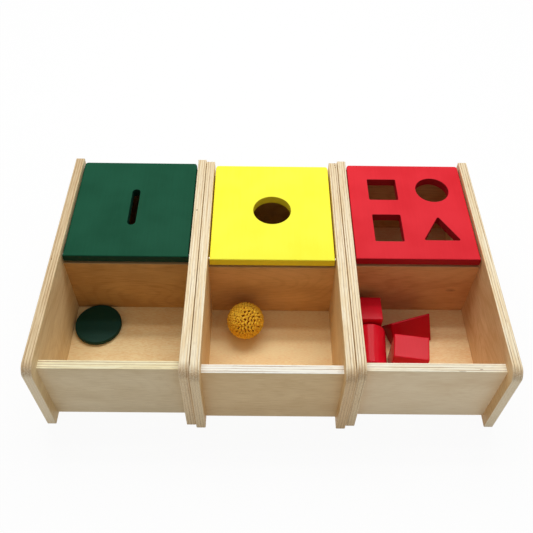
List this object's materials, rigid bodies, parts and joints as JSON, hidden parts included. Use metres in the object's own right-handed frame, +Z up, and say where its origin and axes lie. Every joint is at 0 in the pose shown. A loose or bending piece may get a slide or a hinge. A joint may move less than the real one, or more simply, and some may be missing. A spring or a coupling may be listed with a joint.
{
  "type": "posting boxes with flip lids",
  "caption": "Plywood posting boxes side by side: open tray in front, painted flip lid with slot, round hole or shaped holes over a rear compartment, with disc, knit ball and blocks.",
  "frame": {"origin": "on the table under the middle of the set of three boxes", "axes": "+X to the right along the row of boxes, +Y to the back, +Z up"},
  "size_m": [0.433, 0.273, 0.1],
  "materials": {
    "side_plywood": "clear satin lacquer",
    "cross_plywood": "clear satin lacquer",
    "floor_plywood": "clear satin lacquer",
    "dowel_beech": "plain",
    "pin_steel": "bright",
    "green_paint": "satin paint",
    "yellow_paint": "satin paint",
    "red_paint": "satin paint",
    "amber_yarn": "knit cotton"
  },
  "bodies": {
    "middle_box": {"yellow_left_side": "side_plywood", "yellow_right_side": "side_plywood", "yellow_floor": "floor_plywood", "yellow_front": "cross_plywood", "yellow_divider": "cross_plywood", "yellow_back": "cross_plywood", "yellow_dowels": "dowel_beech", "yellow_hinge_pins": "pin_steel"},
    "left_box": {"green_left_side": "side_plywood", "green_right_side": "side_plywood", "green_floor": "floor_plywood", "green_front": "cross_plywood", "green_divider": "cross_plywood", "green_back": "cross_plywood", "green_dowels": "dowel_beech", "green_hinge_pins": "pin_steel"},
    "right_box": {"red_left_side": "side_plywood", "red_right_side": "side_plywood", "red_floor": "floor_plywood", "red_front": "cross_plywood", "red_divider": "cross_plywood", "red_back": "cross_plywood", "red_dowels": "dowel_beech", "red_hinge_pins": "pin_steel"},
    "green_lid": {"green_lid": "green_paint"},
    "yellow_lid": {"yellow_lid": "yellow_paint"},
    "red_lid": {"red_lid": "red_paint"},
    "disc": {"disc": "green_paint"},
    "knit_ball": {"knit_ball": "amber_yarn"},
    "square_block": {"square_block": "red_paint"},
    "rectangular_block": {"rectangular_block": "red_paint"},
    "cylinder": {"cylinder": "red_paint"},
    "triangular_prism": {"triangular_prism": "red_paint"}
  },
  "joints": [
    {"name": "left_box_apart", "type": "slide", "parent": "middle_box", "child": "left_box", "axis": [-1, 0, 0], "range_m": [0, 0.06]},
    {"name": "right_box_apart", "type": "slide", "parent": "middle_box", "child": "right_box", "axis": [1, 0, 0], "range_m": [0, 0.06]},
    {"name": "green_lid_hinge", "type": "hinge", "parent": "left_box", "child": "green_lid", "pos_m": [-0.1445, 0.003, 0.092], "axis": [1, 0, 0], "range_deg": [0, 180]},
    {"name": "yellow_lid_hinge", "type": "hinge", "parent": "middle_box", "child": "yellow_lid", "pos_m": [0, 0, 0.092], "axis": [1, 0, 0], "range_deg": [0, 180]},
    {"name": "red_lid_hinge", "type": "hinge", "parent": "right_box", "child": "red_lid", "pos_m": [0.1445, 0.003, 0.092], "axis": [1, 0, 0], "range_deg": [0, 180]},
    {"name": "disc_lift", "type": "slide", "parent": "left_box", "child": "disc", "axis": [0, 0, 1], "range_m": [0, 0.11]},
    {"name": "knit_ball_lift", "type": "slide", "parent": "middle_box", "child": "knit_ball", "axis": [0, 0, 1], "range_m": [0, 0.11]},
    {"name": "square_block_lift", "type": "slide", "parent": "right_box", "child": "square_block", "axis": [0, 0, 1], "range_m": [0, 0.11]},
    {"name": "rectangular_block_lift", "type": "slide", "parent": "right_box", "child": "rectangular_block", "axis": [0, 0, 1], "range_m": [0, 0.11]},
    {"name": "cylinder_lift", "type": "slide", "parent": "right_box", "child": "cylinder", "axis": [0, 0, 1], "range_m": [0, 0.11]},
    {"name": "triangular_prism_lift", "type": "slide", "parent": "right_box", "child": "triangular_prism", "axis": [0, 0, 1], "range_m": [0, 0.11]}
  ]
}
